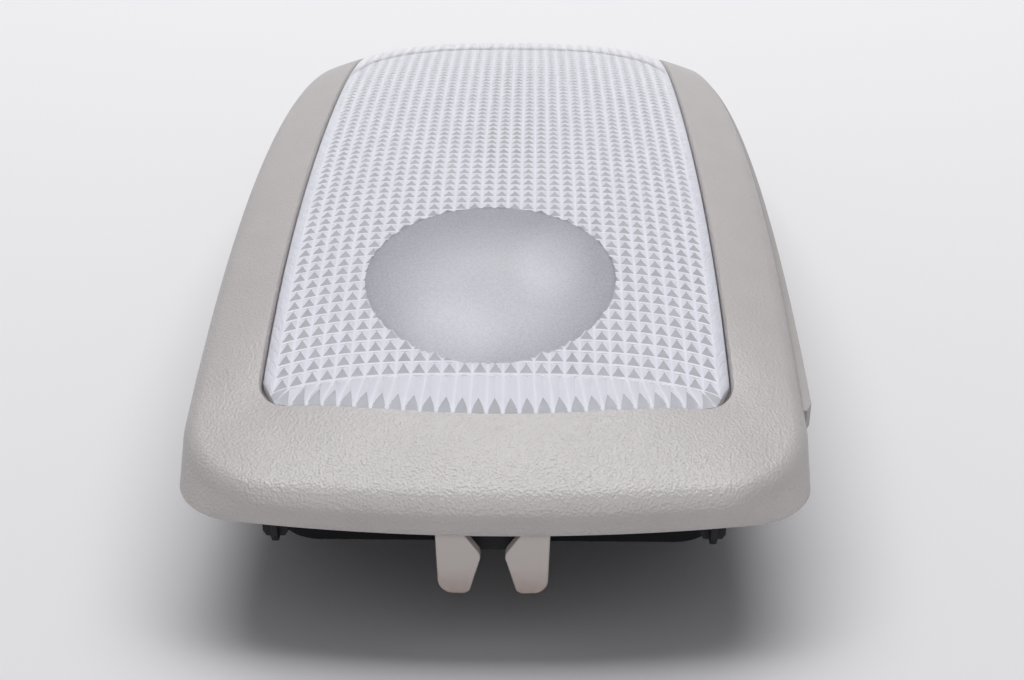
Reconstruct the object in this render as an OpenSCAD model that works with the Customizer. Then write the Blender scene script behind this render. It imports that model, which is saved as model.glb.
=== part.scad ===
// Car dome lamp lying on its back, lens up.
// X runs across the lamp, Y along it, Z up out of the lens.
// The origin is under the middle of the lamp, on the plane of its back.
// All sizes are in millimetres.

/* [Crown] */
// height of the top of the lens above the roof-lining seat
crown_rise = 29.1; // [27:0.1:32]
// fall of the crown from its top to the middle of a lens end
end_fall = 15.8; // [13:0.1:17]
// fall of the crown from its middle line to a long lens edge
side_fall = 2.8; // [2:0.1:3.4]
// extra fall of the lens corners
corner_fall = 2.2; // [1.2:0.1:2.6]

/* [Lens] */
// width of the bezel beyond the lens ends, on the middle line
end_strip = 16.1; // [15:0.1:17.5]
// width of the bezel beside the lens
side_strip = 13.8; // [13:0.1:14.5]
// outward bow of the lens ends and of the bezel ends
end_bow = 5.5; // [4.5:0.1:6]
// radius of the lens corners
lens_corner = 5; // [4:0.5:6]
// thickness of the lens plate
lens_thick = 2.2; // [1.8:0.1:2.5]
// pitch of the square recesses in the inner face
prism_pitch = 2.5; // [2.4:0.05:2.5]
// depth of the recesses, each a four-sided pyramid
prism_depth = 1.15; // [0.8:0.05:1.25]
// diameter of the frosted disc
disc_size = 43.6; // [40:0.2:45]
// distance of the disc's middle from the lens end
disc_in = 32.2; // [31:0.1:34]
// distance of the disc's middle from the middle line, to the right
disc_x = -1.4; // [-2:0.1:2]
// depth of the dome under the disc
disc_dome = 2; // [1:0.1:2.4]

/* [Bezel] */
// overall length of the bezel on its middle line
bezel_length = 236.6; // [225:0.2:245]
// overall width of the bezel at its seat
bezel_width = 104.6; // [100:0.2:108]
// height of the end walls above the seat
end_wall = 5.7; // [5:0.1:6.5]
// fall of the side strips from the lens edge to the ridge
side_step = 4.5; // [3.6:0.1:5]
// radius of the bezel corners at the seat
bezel_corner = 9.5; // [8:0.5:12]
// radius of the corners of the ridge
ridge_corner = 15; // [13:0.5:16]
// thickness of the bezel wall
bezel_wall = 2.2; // [1.8:0.1:2.4]
// gap between the lens and the bezel
lens_gap = 0.4; // [0.3:0.05:0.6]

/* [Prongs] */
// reach of the prongs below the seat
prong_reach = 12.4; // [9:0.2:14]
// width over both prongs
prong_span = 18; // [16:0.5:22]
// narrowest gap between the two prongs
prong_gap = 3.9; // [3:0.1:5]
// thickness of the prongs
prong_thick = 2; // [1.6:0.1:2.4]

/* [Back housing] */
// depth of the lamp behind the seat
recess_depth = 20; // [19:0.5:23]
// distance from the ends of the well to the ends of the bezel
well_end_in = 28.3; // [27:0.1:29]
// distance from the sides of the well to the sides of the bezel
well_side_in = 13.3; // [13:0.1:14]
// thickness of the housing walls
shell = 2; // [1.6:0.1:2.2]
// width over the arms of a cross pin
pin_width = 4.2; // [3.6:0.1:5]
// reach of the cross pins below the seat
pin_reach = 7.1; // [6:0.1:9]
// distance of the cross pins from the sides of the bezel
pin_side_in = 17.2; // [16:0.1:19]

/* [Switch bar] */
// distance from the ends of the switch bar to the ends of the bezel
bar_end_in = 26.3; // [26:0.1:30]
// height of the bar in the middle
bar_height = 4.5; // [4:0.1:5]
// how far the bar stands out of the side of the bezel
bar_proud = 0.9; // [0.5:0.1:1.3]
// depth of the bar behind its outer face
bar_depth = 5.5; // [5:0.1:5.8]
// clearance round the bar in its slot
bar_gap = 0.45; // [0.35:0.05:0.6]
// angle the bar rocks to each side
bar_swing = 1.2; // [0.8:0.1:1.4]
// diameter of the pivot pin
pivot_size = 3; // [2.6:0.1:3.4]
// radial clearance of the bar on its pivot pin
pivot_fit = 0.06; // [0.03:0.01:0.1]

/* [Bulbs] */
// length of the festoon bulb over its caps
festoon_length = 41; // [38:0.5:42]
// diameter of the festoon bulb glass
festoon_size = 10; // [9:0.5:10.5]
// place of the festoon bulb along the lamp
festoon_place = 22; // [18:1:26]
// height of the festoon bulb axis above the back
festoon_height = 24; // [23:0.5:26]
// diameter of the wedge bulb glass
wedge_size = 10; // [9:0.5:10]
// height of the top of the wedge bulb above the back
wedge_top = 30.5; // [29:0.5:32]

/* [Brass] */
// thickness of the brass strips
strip = 0.6; // [0.5:0.05:0.8]
// width of the brass strips
strip_width = 4; // [3.5:0.1:4.2]

/* [Hidden] */
$fn = 48;
eps = 0.01;

grey = [0.66, 0.63, 0.61];
clear = [0.86, 0.88, 0.92];
dark = [0.2, 0.2, 0.21];
white = [0.93, 0.93, 0.92];
bright = [0.82, 0.82, 0.83];
brass = [0.78, 0.62, 0.32];
steel = [0.66, 0.67, 0.69];
glass = [0.9, 0.93, 0.95];

// ---- crown shared by the lens and the bezel
seat_z = recess_depth;
crown_z = seat_z + crown_rise;
lens_x = bezel_width / 2 - side_strip;
lens_y = bezel_length / 2 - end_strip;
crown_quad = 0.515 * end_fall;
crown_quart = end_fall - crown_quad;
side_quad = 0.43 * side_fall;
side_quart = side_fall - side_quad;

function crown(x, y) = crown_z
    - crown_quad * pow(y / lens_y, 2) - crown_quart * pow(y / lens_y, 4)
    - side_quad * pow(x / lens_x, 2)
    - (side_quart + corner_fall * pow(y / lens_y, 2)) * pow(x / lens_x, 4);
function fall_x(x, y) = 2 * side_quad * x / pow(lens_x, 2)
    + 4 * (side_quart + corner_fall * pow(y / lens_y, 2)) * pow(x, 3) / pow(lens_x, 4);
function fall_y(y) = 2 * crown_quad * y / pow(lens_y, 2)
    + 4 * crown_quart * pow(y, 3) / pow(lens_y, 4);

// ---- plan outlines, walked anticlockwise from +X
side_steps = 9;
arc_steps = 5;
end_steps = 6;
function quadrant(a, b, r) = concat(
    [for (i = [0:side_steps - 1]) [a, (b - r) * i / side_steps]],
    [for (i = [0:arc_steps - 1]) [a - r + r * cos(90 * i / arc_steps),
                                  b - r + r * sin(90 * i / arc_steps)]],
    [for (i = [0:end_steps]) [(a - r) * (1 - i / end_steps), b]]);
function bowed(p, a, b, sx, sy) = [
    p[0] + sx * (1 - pow(p[1] / b, 2)) * p[0] / a,
    p[1] + sy * (1 - pow(p[0] / a, 2)) * p[1] / b];
function outline(a, b, r, sx, sy) =
    let (q = [for (p = quadrant(a, b, r)) bowed(p, a, b, sx, sy)], m = len(q) - 1)
    concat(
        [for (i = [0:m - 1]) q[i]],
        [for (i = [m:-1:1]) [-q[i][0], q[i][1]]],
        [for (i = [0:m - 1]) -q[i]],
        [for (i = [m:-1:1]) [q[i][0], -q[i][1]]]);

// ---- lens, one plate with square pyramid recesses in its inner face
lens_b = lens_y - end_bow;
prism_cols = 2 * floor((lens_x - 1.5) / prism_pitch - 0.5) + 1;
prism_rows = 2 * floor((lens_b - 0.4) / prism_pitch - 0.5) + 1;
field_x = prism_cols * prism_pitch / 2;
field_y = prism_rows * prism_pitch / 2;
lens_edge_round = 0.8;
corner_trim = 0.8;
end_slope = 2.6;
disc_r = disc_size / 2;
disc_y = disc_in - lens_y;

function plain_node(i, j) = [i * prism_pitch - field_x, j * prism_pitch - field_y];
function disc_dist(p) = norm([p[0] - disc_x, p[1] - disc_y]);
function at_corner(i, j) = (i == 0 || i == prism_cols) && (j == 0 || j == prism_rows);
function trimmed_node(i, j) = let (p = plain_node(i, j), t = at_corner(i, j) ? corner_trim : 0)
    [p[0] - sign(p[0]) * t, p[1] - sign(p[1]) * t];
function plan_node(i, j) = let (p = trimmed_node(i, j), d = disc_dist(p))
    abs(d - disc_r) < 0.47 * prism_pitch
        ? [disc_x + (p[0] - disc_x) * disc_r / d, disc_y + (p[1] - disc_y) * disc_r / d] : p;
function dome(p) = let (d = disc_dist(p)) d < disc_r ? disc_dome * (1 - pow(d / disc_r, 2)) : 0;
function under_node(i, j) = let (p = plan_node(i, j))
    [p[0], p[1], crown(p[0], p[1]) - lens_thick - dome(p)];
function corner_drop(x) = let (e = max(0, abs(x) - (lens_x - lens_corner)))
    lens_corner - sqrt(max(0, pow(lens_corner, 2) - e * e));
function edge_plan(i, j) = let (p = plain_node(i, j))
    j == 0 || j == prism_rows
        ? let (x = p[0] * lens_x / field_x)
          [x, sign(p[1]) * (lens_b + end_bow * (1 - pow(x / lens_x, 2)) - corner_drop(x))]
        : [sign(p[0]) * lens_x, p[1] * (lens_b - lens_corner) / field_y];

lens_ring = concat(
    [for (i = [0:prism_cols - 1]) [i, 0]],
    [for (j = [0:prism_rows - 1]) [prism_cols, j]],
    [for (i = [prism_cols:-1:1]) [i, prism_rows]],
    [for (j = [prism_rows:-1:1]) [0, j]]);
ring_n = len(lens_ring);
function ring_at(i, j) =
    j == 0 && i < prism_cols ? i
    : i == prism_cols && j < prism_rows ? prism_cols + j
    : j == prism_rows && i > 0 ? 2 * prism_cols + prism_rows - i
    : 2 * prism_cols + 2 * prism_rows - j;

function cell_nodes(i, j) = [[i, j], [i + 1, j], [i + 1, j + 1], [i, j + 1]];
function cell_dist(i, j) = [for (c = cell_nodes(i, j)) disc_dist(plan_node(c[0], c[1]))];
function in_disc(i, j) = max(cell_dist(i, j)) < disc_r + eps;
function cuts_disc(i, j) = let (d = cell_dist(i, j))
    min(d) < disc_r - eps && max(d) > disc_r + eps;

module lens_body() {
    top_stops = [for (s = [0:6]) round(s * prism_cols / 6)];
    last_stop = len(top_stops) - 1;
    shrink_x = (lens_x - lens_edge_round) / lens_x;
    shrink_y = (lens_y - lens_edge_round) / lens_y;
    rings = [for (c = lens_ring) edge_plan(c[0], c[1])];
    under = [for (i = [0:prism_cols]) for (j = [0:prism_rows]) under_node(i, j)];
    tips = [for (i = [0:prism_cols - 1]) for (j = [0:prism_rows - 1])
        let (m = [for (c = cell_nodes(i, j)) plan_node(c[0], c[1])],
             p = (m[0] + m[1] + m[2] + m[3]) / 4)
        [p[0], p[1], crown(p[0], p[1]) - lens_thick + prism_depth]];
    wedges = [for (e = [0, 1]) for (i = [0:prism_cols - 1])
        let (j = e * prism_rows, lo = e == 0 ? edge_plan(i, 0)[1] + edge_plan(i + 1, 0)[1] : 2 * field_y,
             hi = e == 0 ? -2 * field_y : edge_plan(i, j)[1] + edge_plan(i + 1, j)[1],
             x = (plain_node(i, j)[0] + plain_node(i + 1, j)[0] + edge_plan(i, j)[0]
                  + edge_plan(i + 1, j)[0]) / 4,
             span = (hi - lo) / 2,
             in = min(prism_pitch / 2, 0.4 * span),
             out = min(end_slope, 0.6 * span),
             deep = span < 0.6 ? 0.1 : prism_depth * in * 2 / prism_pitch)
        each [for (y = e == 0 ? [lo / 2 + out, hi / 2 - in] : [lo / 2 + in, hi / 2 - out])
            [x, y, crown(x, y) - lens_thick + deep]]];
    flanks = [for (k = [0:ring_n - 1])
        let (n = (k + 1) % ring_n, c = lens_ring[k], e = lens_ring[n],
             p = (plan_node(c[0], c[1]) + plan_node(e[0], e[1]) + rings[k] + rings[n]) / 4)
        [p[0], p[1], crown(p[0], p[1]) - lens_thick + 0.9 * prism_depth]];
    upper = [for (p = rings) let (x = p[0] * shrink_x, y = p[1] * shrink_y) [x, y, crown(x, y)]];
    rim = [for (p = rings) [p[0], p[1], crown(p[0], p[1]) - lens_edge_round]];
    foot = [for (p = rings) [p[0], p[1], crown(p[0], p[1]) - lens_thick]];
    top = [for (s = [1:last_stop - 1]) for (j = [0:prism_rows])
        let (x = plain_node(top_stops[s], 0)[0] * lens_x / field_x * shrink_x,
             y = upper[ring_at(0, j)][1])
        [x, y, crown(x, y)]];
    tip0 = len(under);
    upper0 = tip0 + len(tips);
    rim0 = upper0 + ring_n;
    foot0 = rim0 + ring_n;
    top0 = foot0 + ring_n;
    wedge0 = top0 + len(top);
    flank0 = wedge0 + len(wedges);
    function un(i, j) = i * (prism_rows + 1) + j;
    function tp(i, j) = tip0 + i * prism_rows + j;
    function tn(s, j) = s == 0 ? upper0 + ring_at(0, j)
        : s == last_stop ? upper0 + ring_at(prism_cols, j)
        : top0 + (s - 1) * (prism_rows + 1) + j;
    function eo(i, j) = upper0 + ring_at(i, j);
    cells = [for (i = [0:prism_cols - 1]) for (j = [0:prism_rows - 1])
        let (a = un(i, j), b = un(i + 1, j), c = un(i + 1, j + 1), d = un(i, j + 1), p = tp(i, j),
             dist = cell_dist(i, j),
             flat = in_disc(i, j) || cuts_disc(i, j),
             ac = abs(dist[0] - disc_r) < eps && abs(dist[2] - disc_r) < eps)
        each !flat ? [[a, d, p], [d, c, p], [c, b, p], [b, a, p]]
            : ac ? [[a, d, c], [a, c, b]] : [[a, d, b], [d, c, b]]];
    border = [for (k = [0:ring_n - 1])
        let (n = (k + 1) % ring_n, c = lens_ring[k], e = lens_ring[n],
             at_end = c[1] == e[1] && (c[1] == 0 || c[1] == prism_rows))
        each concat(at_end ? [] : [[un(c[0], c[1]), un(e[0], e[1]), flank0 + k],
                                   [un(e[0], e[1]), foot0 + n, flank0 + k],
                                   [foot0 + n, foot0 + k, flank0 + k],
                                   [foot0 + k, un(c[0], c[1]), flank0 + k]],
             [[foot0 + k, foot0 + n, rim0 + n], [foot0 + k, rim0 + n, rim0 + k],
              [rim0 + k, rim0 + n, upper0 + n], [rim0 + k, upper0 + n, upper0 + k]])];
    hips = [for (e = [0, 1]) for (i = [0:prism_cols - 1])
        let (j = e * prism_rows, u0 = un(i, j), u1 = un(i + 1, j),
             f0 = foot0 + ring_at(i, j), f1 = foot0 + ring_at(i + 1, j),
             a = e == 0 ? f0 : u0, b = e == 0 ? f1 : u1, c = e == 0 ? u1 : f1, d = e == 0 ? u0 : f0,
             w = 2 * (e * prism_cols + i), p = wedge0 + w, q = p + 1,
             short = norm(wedges[w] - wedges[w + 1]) < eps)
        each short ? [[a, d, p], [d, c, p], [c, b, p], [b, a, p]]
            : [[b, a, p], [d, c, q], [a, d, q], [a, q, p], [c, b, p], [c, p, q]]];
    skin = [for (s = [0:last_stop - 1]) for (j = [0:prism_rows - 1])
        each [[tn(s, j), tn(s + 1, j), tn(s + 1, j + 1)], [tn(s, j), tn(s + 1, j + 1), tn(s, j + 1)]]];
    ends = [for (s = [0:last_stop - 1])
        let (a = top_stops[s], b = top_stops[s + 1], m = floor((a + b) / 2))
        each concat(
            [for (i = [a:m - 1]) if (i > 0) each [[eo(i, 0), eo(i + 1, 0), tn(s, 0)],
                [eo(i + 1, prism_rows), eo(i, prism_rows), tn(s, prism_rows)]]],
            [[eo(m, 0), tn(s + 1, 0), tn(s, 0)],
             [eo(m, prism_rows), tn(s, prism_rows), tn(s + 1, prism_rows)]],
            [for (i = [m:b - 1]) if (i < prism_cols - 1) each [[eo(i, 0), eo(i + 1, 0), tn(s + 1, 0)],
                [eo(i + 1, prism_rows), eo(i, prism_rows), tn(s + 1, prism_rows)]]])];
    faces = [for (t = concat(cells, border, hips, skin, ends)) [t[2], t[1], t[0]]];
    polyhedron(concat(under, tips, upper, rim, foot, top, wedges, flanks), faces);
}

module lens() {
    color(clear) lens_body();
}

// ---- bezel, a lofted ring with the prongs, screw bosses and bar slot
seat_bulge = 1.7;
seat_x = bezel_width / 2 - seat_bulge;
seat_b = bezel_length / 2 - end_bow;
ridge_in = 0.7;
ridge_bulge = 1.1;
belly = 0.8;
lip = 0.9;
ledge = 1.2;
ledge_gap = 0.3;
ledge_depth = 2.2;
roll = 2.6;
end_ridge_z = seat_z + end_wall;
side_rise = crown(lens_x, 0) - side_step - end_ridge_z;
rise_half = bezel_length / 2 - 11;
function ridge_z(y) = let (v = 1 - pow(y / rise_half, 2))
    end_ridge_z + side_rise * (v + sqrt(v * v + 0.01)) / 2;

opening_loop = outline(lens_x + lens_gap, lens_b + lens_gap, lens_corner + lens_gap, 0, end_bow);
ridge_loop = outline(seat_x - ridge_in, seat_b - ridge_in, ridge_corner, ridge_bulge, end_bow);
seat_loop = outline(seat_x, seat_b, bezel_corner, seat_bulge, end_bow);

function bezel_section(k) =
    let (pi_ = opening_loop[k], pr = ridge_loop[k], ps = seat_loop[k],
         w = norm(pr - pi_), u = (pr - pi_) / w,
         zi = crown(pi_[0], pi_[1]), zr = ridge_z(pr[1]),
         slope = u[0] * fall_x(pi_[0], pi_[1]) + u[1] * fall_y(pi_[1]),
         s0 = min(slope, 0.85 * (zi - zr) / w),
         seat_z0 = zi - lens_thick - ledge_gap,
         top = function (v) zi - s0 * v - (zi - zr - s0 * w) * pow(v / w, 2),
         at = function (v, z) [pi_[0] + u[0] * v, pi_[1] + u[1] * v, z],
         ra = [w - roll, top(w - roll)], rb = [w - 0.1, zr + 0.25], re = [w + belly, zr - 2.4],
         bend = function (t) ra * pow(1 - t, 2) + rb * 2 * t * (1 - t) + re * t * t,
         b1 = bend(0.35), b2 = bend(0.7))
    [at(-ledge, seat_z0 - ledge_depth), at(-ledge, seat_z0), at(0, seat_z0), at(0, zi - lip),
     at(0.3, zi - 0.2), at(1, top(1)), at(0.28 * w, top(0.28 * w)), at(0.5 * w, top(0.5 * w)),
     at(0.72 * w, top(0.72 * w)), at(ra[0], ra[1]), at(b1[0], b1[1]), at(b2[0], b2[1]),
     at(re[0], re[1]), [ps[0], ps[1], seat_z + 0.4],
     [ps[0] - 0.4 * u[0], ps[1] - 0.4 * u[1], seat_z],
     [ps[0] - bezel_wall * u[0], ps[1] - bezel_wall * u[1], seat_z],
     at(w + belly - bezel_wall, zr - 3.4), at(w - 4.2, top(w - 4.2) - 1.15 * bezel_wall),
     at(0.5 * w, top(0.5 * w) - 1.1 * bezel_wall), at(1.8, top(1.8) - 1.1 * bezel_wall),
     at(1.8, seat_z0 - ledge_depth)];

module bezel_shell() {
    n = len(seat_loop);
    rings = [for (k = [0:n - 1]) bezel_section(k)];
    m = len(rings[0]);
    points = [for (r = rings) each r];
    faces = [for (k = [0:n - 1]) for (q = [0:m - 1])
        let (a = k * m + q, b = k * m + (q + 1) % m, c = ((k + 1) % n) * m + (q + 1) % m,
             d = ((k + 1) % n) * m + q)
        each [[c, b, a], [d, c, a]]];
    polyhedron(points, faces);
}

function arc_points(c, r, a0, a1, n) = [for (i = [0:n]) let (a = a0 + (a1 - a0) * i / n)
    [c[0] + r * cos(a), c[1] + r * sin(a)]];

prong_y = bezel_length / 2 - bezel_wall - 0.3;
prong_root = 4.6;
prong_fit = 0.5;
module prong() {
    out = prong_span / 2;
    in = prong_gap / 2;
    tip = seat_z - prong_reach;
    belly = tip + 0.55 * prong_reach;
    polygon(concat(
        [[in + 2.9, seat_z + prong_root], [in + 2.3, seat_z - 1.6]],
        arc_points([in + 1.9, belly], 1.9, 145, 205, 5),
        arc_points([out - 4.1, tip + 1.6], 1.6, 218, 270, 4),
        arc_points([out - 2.8, tip + 2.5], 2.5, 285, 356, 5),
        [[out, seat_z], [out, seat_z + prong_root]]));
}
module prong_pair() {
    translate([0, prong_y, 0]) rotate([90, 0, 0]) linear_extrude(prong_thick) {
        prong();
        mirror([1, 0]) prong();
    }
}

boss_r = 3.2;
screw_pin_in = 10.1;
screw_x = bezel_width / 2 - pin_side_in - screw_pin_in;
screw_y = seat_b - 4.8;
flange_bottom = seat_z + 0.5;
flange_top = flange_bottom + shell;
module screw_bosses() {
    for (sx = [-1, 1], sy = [-1, 1])
        translate([sx * screw_x, sy * screw_y, flange_top]) cylinder(r = boss_r, h = 4.6);
}
module screw_bores() {
    for (sx = [-1, 1], sy = [-1, 1])
        translate([sx * screw_x, sy * screw_y, flange_top - 1]) cylinder(r = 1.5, h = 5);
}

// ---- switch bar, arched like the ridge above it
bar_half = bezel_length / 2 - bar_end_in;
bar_face = bezel_width / 2 + bar_proud;
bar_bow = 0.7;
bar_top_mid = ridge_z(0) - 4;
bar_arch = 9.6;
arch_half = bar_half - 2;
function bar_upper(y, g) = bar_top_mid - bar_arch * pow(y / arch_half, 2) + g;
function bar_lower(y, g) = bar_top_mid - bar_height - (bar_arch - 0.4) * pow(y / arch_half, 2) - g;
function bar_out(y) = bar_face - bar_bow * pow(y / bar_half, 2);
module bar_side(g) {
    n = 24;
    half = bar_half + g;
    polygon(concat(
        [for (i = [0:n]) let (y = half * (2 * i / n - 1)) [y, bar_lower(y, g)]],
        [for (i = [n:-1:0]) let (y = half * (2 * i / n - 1)) [y, bar_upper(y, g)]]));
}
module bar_solid(x0, x1, g) {
    translate([x0, 0, 0]) rotate([90, 0, 90]) linear_extrude(x1 - x0) bar_side(g);
}

module bezel() {
    color(grey) difference() {
        union() {
            bezel_shell();
            prong_pair();
            mirror([0, 1, 0]) prong_pair();
            screw_bosses();
        }
        screw_bores();
        bar_solid(bar_face - bar_depth - 1.7, bar_face + 7, bar_gap);
    }
}

inner = bar_face - bar_depth;
pivot_x = inner - 3.7;
pivot_r = pivot_size / 2;
lug_z = bar_lower(0, 0);
lug_h = bar_height;
post_top = lug_z - 0.2;
contact_y = bar_half - 35.8;
contact_w = 8;
finger_w = 3.2;
finger_gap = 1.8;
finger_step = (finger_w + finger_gap) / 2;
contact_z = bar_lower(contact_y + contact_w / 2, 0);
blade_x = inner - strip;
detent_x = inner - 0.8;
ground_y = contact_y + 13.8;
detent_y = ground_y + strip_width + 2;
detent_z = bar_lower(detent_y, 0) - 2.1;
module switch_bar() {
    color(grey) difference() {
        union() {
            intersection() {
                bar_solid(inner, bar_face + 1, 0);
                translate([0, 0, seat_z]) linear_extrude(crown_rise) polygon(concat(
                    [[inner, -bar_half], [bar_out(bar_half) - 0.9, -bar_half]],
                    [for (i = [-6:6]) let (y = (bar_half - 1.8) * i / 6) [bar_out(y), y]],
                    [[bar_out(bar_half) - 0.9, bar_half], [inner, bar_half]]));
            }
            translate([pivot_x, -4.5, lug_z]) cube([inner + 1 - pivot_x, 9, lug_h]);
            translate([pivot_x, 0, lug_z]) cylinder(r = 4.5, h = lug_h);
            translate([0, detent_y + 2, 0]) rotate([90, 0, 0]) linear_extrude(4) polygon([
                [detent_x - 0.6, detent_z], [detent_x + 0.5, detent_z],
                [detent_x + 0.5, detent_z + 2.3], [inner + 0.1, detent_z + 2.8],
                [inner + 0.1, detent_z + 4.6], [detent_x - 0.6, detent_z + 4.6]]);
        }
        translate([pivot_x, 0, lug_z - 1]) cylinder(r = pivot_r + pivot_fit, h = lug_h + 2);
    }
}
module bar_contacts() {
    color(brass) for (s = [-1, 1])
        translate([blade_x, s * contact_y - contact_w / 2, contact_z + 0.6])
            cube([strip, contact_w, 2.8]);
}
module pivot_washer() {
    color(steel) translate([pivot_x, 0, lug_z + lug_h + 0.2]) difference() {
        cylinder(r = 3.2, h = 0.6);
        translate([0, 0, -1]) cylinder(r = pivot_r + 0.02, h = 3);
    }
}
leaf = 0.4;
module detent_spring() {
    base = flange_top;
    crest = detent_z - 0.28;
    mid = crest - 0.6;
    function wave(g) = [[-2.8, mid - 0.2 - g], [-1.4, mid - g], [-0.8, crest - g], [0, mid - g],
                        [0.8, crest - g], [1.4, mid - 0.4 - g]];
    color(steel) translate([detent_x, detent_y + 1.5, 0]) rotate([90, 0, 0]) linear_extrude(3)
        polygon(concat(
            [[-5.2, base], [-5.2, base + leaf], [-3.4, base + leaf]], wave(0),
            [for (i = [5:-1:0]) wave(leaf)[i]], [[-3.1, base]]));
}

// ---- back housing, flange and well in one moulding
flange_fit = 0.35;
flange_in = bezel_wall - belly + flange_fit;
pin_y = seat_b - 4.8;
tab_y = seat_b - 3.6;
well_x = bezel_width / 2 - well_side_in;
well_y = bezel_length / 2 - well_end_in;
pin_x = bezel_width / 2 - pin_side_in;
conn_w = 24;
conn_h = 14;
conn_l = 12;
conn_z = 2;
blade_z = conn_z + conn_h / 2;
terminal_x = 7;
module rounded_plate(hx, hy, r, h) {
    linear_extrude(h) union() {
        square([2 * hx - 2 * r, 2 * hy], center = true);
        square([2 * hx, 2 * hy - 2 * r], center = true);
        for (sx = [-1, 1], sy = [-1, 1]) translate([sx * (hx - r), sy * (hy - r)]) circle(r = r);
    }
}
module cross_pin() {
    arm = 1.1;
    z0 = seat_z - pin_reach;
    h = flange_bottom - z0 + 0.5;
    intersection() {
        union() {
            translate([-pin_width / 2, -arm / 2, z0 + 0.5]) cube([pin_width, arm, h - 0.5]);
            translate([-arm / 2, -pin_width / 2, z0]) cube([arm, pin_width, h]);
        }
        union() {
            translate([0, 0, z0 + 1.4]) cylinder(r = pin_width / 2, h = h);
            translate([0, 0, z0]) cylinder(r1 = pin_width / 2 - 0.8, r2 = pin_width / 2, h = 1.41);
        }
    }
}
module back_housing() {
    color(dark) difference() {
        union() {
            translate([0, 0, flange_bottom]) linear_extrude(shell)
                polygon(outline(seat_x - ridge_in - flange_in, seat_b - ridge_in - flange_in,
                                ridge_corner - flange_in, ridge_bulge, end_bow));
            rounded_plate(well_x, well_y, 8, flange_top - 0.2);
            translate([-conn_w / 2, well_y - 1, conn_z]) cube([conn_w, conn_l + 1, conn_h]);
            for (sx = [-1, 1], sy = [-1, 1])
                translate([sx * pin_x, sy * pin_y, 0]) cross_pin();
            for (s = [-1, 1]) translate([-6, s * (tab_y + 1.1) - 1.1, seat_z - 7])
                cube([12, 2.2, 8]);
            translate([pivot_x, 0, flange_bottom]) cylinder(r = 2.8, h = post_top - flange_bottom);
            translate([pivot_x, 0, flange_bottom])
                cylinder(r = pivot_r, h = lug_z + lug_h + 1.4 - flange_bottom);
        }
        translate([0, 0, shell]) rounded_plate(well_x - shell, well_y - shell, 6, 40);
        translate([-conn_w / 2 + 1.5, well_y, conn_z + 1.5])
            cube([conn_w - 3, conn_l + 1, conn_h - 3]);
        for (s = [-1, 1]) translate([s * terminal_x - 1.5, well_y - shell - 1, blade_z - 0.5])
            cube([3, shell + 2, 1]);
        for (sx = [-1, 1], sy = [-1, 1])
            translate([sx * screw_x, sy * screw_y, flange_bottom - 1]) cylinder(r = 1.7, h = 5);
        for (s = [-1, 1]) translate([-prong_span / 2 - prong_fit,
                s > 0 ? prong_y - prong_thick - prong_fit : -prong_y - 5, flange_bottom - 1])
            cube([prong_span + 2 * prong_fit, prong_thick + prong_fit + 5, shell + 2]);
    }
}
module housing_screws() {
    color(steel) for (sx = [-1, 1], sy = [-1, 1])
        translate([sx * screw_x, sy * screw_y, 0]) difference() {
            union() {
                translate([0, 0, flange_bottom - 2.2]) cylinder(r = 2.9, h = 2.2);
                translate([0, 0, flange_bottom - 0.5]) cylinder(r = 1.48, h = shell + 4);
            }
            for (a = [0, 90]) rotate(a) translate([-1.6, -0.35, flange_bottom - 3])
                cube([3.2, 0.7, 1.9]);
        }
}

// ---- reflectors
tray_y0 = disc_y + 26;
tray_y1 = well_y - 6;
plate_x = well_x - 0.5;
main_y = contact_y - finger_step - finger_w / 2;
spot_y = -contact_y + finger_step - finger_w / 2;
tray_floor = 13;
tray_rim = 0.8;
module tray_solid(t) {
    z0 = tray_floor + t;
    z1 = flange_top + tray_rim + (t > 0 ? 1 : 0);
    intersection() {
        rotate([90, 0, 0]) linear_extrude(bezel_length, center = true)
            polygon([[15 - well_x + t, z0], [well_x - 15 - t, z0],
                     [well_x - 4 - t, z1], [t + 4 - well_x, z1]]);
        rotate([90, 0, 90]) linear_extrude(bezel_width, center = true)
            polygon([[tray_y0 + 14 + t, z0], [tray_y1 - 16 - t, z0],
                     [tray_y1 - t, z1], [tray_y0 + t, z1]]);
    }
}
notch_gap = 0.5;
module rim_notch(y0, w) {
    translate([well_x - shell - strip - 2.4, y0 - notch_gap, flange_top - 1])
        cube([6, w + 2 * notch_gap, 3]);
}
module main_reflector() {
    color(white) difference() {
        union() {
            tray_solid(0);
            translate([-plate_x, tray_y0 - 1.5, flange_top])
                cube([2 * plate_x, tray_y1 - tray_y0 + 5, tray_rim]);
        }
        tray_solid(1);
        for (e = [-1, 1]) translate([-5.2, festoon_place + e * (festoon_length / 2 + 0.2) - 1.9,
                                     tray_floor - 1]) cube([10.4, 3.8, 3]);
        rim_notch(main_y, finger_w);
        rim_notch(ground_y, strip_width);
    }
}
bowl_r = disc_r - 3.8;
holder_r = 6.5;
bowl_r0 = holder_r + 0.5;
bowl_z0 = 12.4;
bowl_z1 = flange_top + 9.5;
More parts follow.
